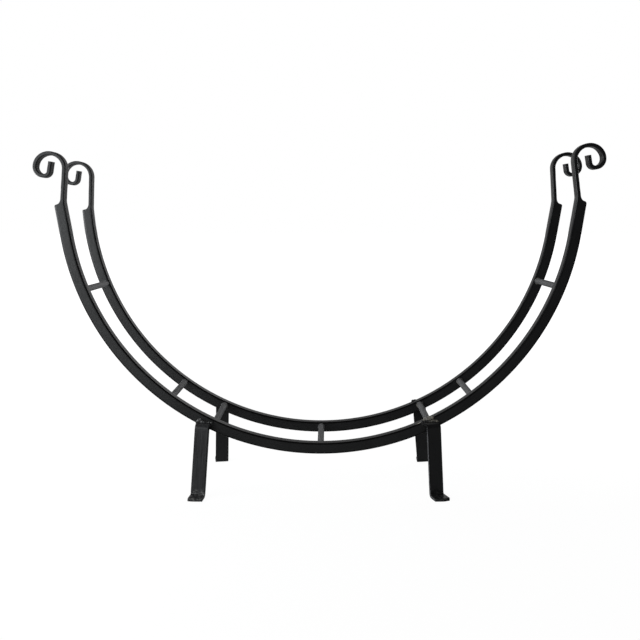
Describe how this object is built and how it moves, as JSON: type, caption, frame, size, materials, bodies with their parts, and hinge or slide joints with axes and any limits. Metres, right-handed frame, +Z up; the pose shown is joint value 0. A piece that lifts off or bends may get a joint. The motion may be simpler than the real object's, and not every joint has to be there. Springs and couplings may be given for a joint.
{
  "type": "log holder",
  "caption": "Crescent firewood log holder: forged half hoops with scrolled ends, joined by round cross rods and carried on bent flat-bar legs.",
  "frame": {"origin": "on the floor, under the middle of the bounding box", "axes": "+X along the hoops, to the right as seen from the front; +Z up; -Y towards the viewer"},
  "size_m": [1.0824, 0.253, 0.6579],
  "materials": {
    "hoop_iron": "semi-gloss black paint over forged bar",
    "rod_iron": "semi-gloss black paint over round rod",
    "leg_iron": "semi-gloss black paint over flat bar",
    "weld_metal": "lumpy weld beads, thinly painted black"
  },
  "bodies": {
    "root": {"front_hoop": "hoop_iron", "rear_hoop": "hoop_iron", "bottom_rod": "rod_iron", "left_leg_rod": "rod_iron", "right_leg_rod": "rod_iron", "left_lower_rod": "rod_iron", "right_lower_rod": "rod_iron", "left_upper_rod": "rod_iron", "right_upper_rod": "rod_iron", "front_left_leg": "leg_iron", "front_right_leg": "leg_iron", "rear_left_leg": "leg_iron", "rear_right_leg": "leg_iron", "front_left_leg_weld": "weld_metal", "front_right_leg_weld": "weld_metal", "rear_left_leg_weld": "weld_metal", "rear_right_leg_weld": "weld_metal", "front_rod_welds": "weld_metal", "rear_rod_welds": "weld_metal"}
  },
  "joints": []
}
